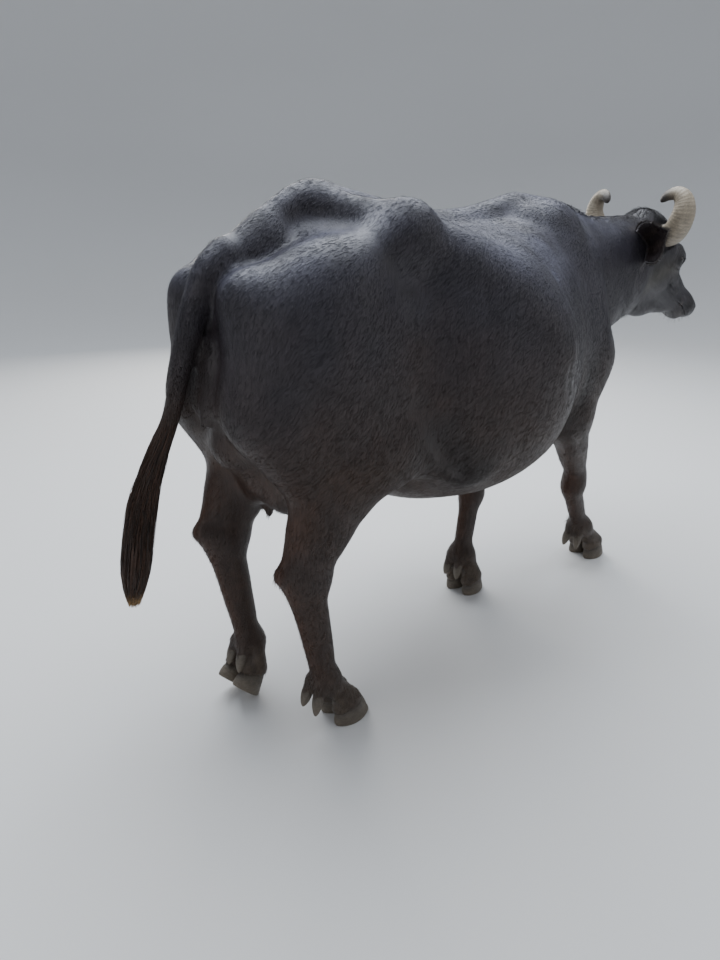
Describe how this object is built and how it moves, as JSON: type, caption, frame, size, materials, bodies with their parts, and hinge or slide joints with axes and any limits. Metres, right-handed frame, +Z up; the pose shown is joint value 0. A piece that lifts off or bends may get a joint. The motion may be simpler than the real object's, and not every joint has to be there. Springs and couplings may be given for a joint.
{
  "type": "water buffalo",
  "caption": "Life-size water buffalo cow walking, head held low and forward, horns curled up and back, tail hanging; a still figure that stands on its hooves.",
  "frame": {"origin": "middle of the animal's bounding box, on the floor under its hooves", "axes": "+X towards the head, +Y to the animal's left, +Z up"},
  "size_m": [2.4679, 0.8327, 1.429],
  "materials": {
    "hide": "dark slate-grey skin under short sparse hair, brown on the lower thighs and the backs of the legs",
    "horn": "grey-tan horn with growth rings and dark tips",
    "claw": "dark worn hoof horn, dusty towards the floor",
    "eye": "wet dark brown",
    "tail_hair": "long dark hair, golden at the tip"
  },
  "bodies": {
    "root": {"body_hind": "hide", "body_barrel": "hide", "body_shoulders": "hide", "neck": "hide", "head": "hide", "ear_L": "hide", "ear_R": "hide", "eye_L": "eye", "eye_R": "eye", "horn_L": "horn", "horn_R": "horn", "tail": "hide", "tail_switch": "tail_hair", "leg_fore_L_upper": "hide", "leg_fore_L_lower": "hide", "leg_fore_R_upper": "hide", "leg_fore_R_lower": "hide", "leg_hind_L_upper": "hide", "leg_hind_L_lower": "hide", "leg_hind_R_upper": "hide", "leg_hind_R_lower": "hide", "claw_fore_L_inner": "claw", "claw_fore_L_outer": "claw", "claw_fore_R_inner": "claw", "claw_fore_R_outer": "claw", "claw_hind_L_inner": "claw", "claw_hind_L_outer": "claw", "claw_hind_R_inner": "claw", "claw_hind_R_outer": "claw", "dewclaw_fore_L_inner": "claw", "dewclaw_fore_L_outer": "claw", "dewclaw_fore_R_inner": "claw", "dewclaw_fore_R_outer": "claw", "dewclaw_hind_L_inner": "claw", "dewclaw_hind_L_outer": "claw", "dewclaw_hind_R_inner": "claw", "dewclaw_hind_R_outer": "claw"}
  },
  "joints": []
}
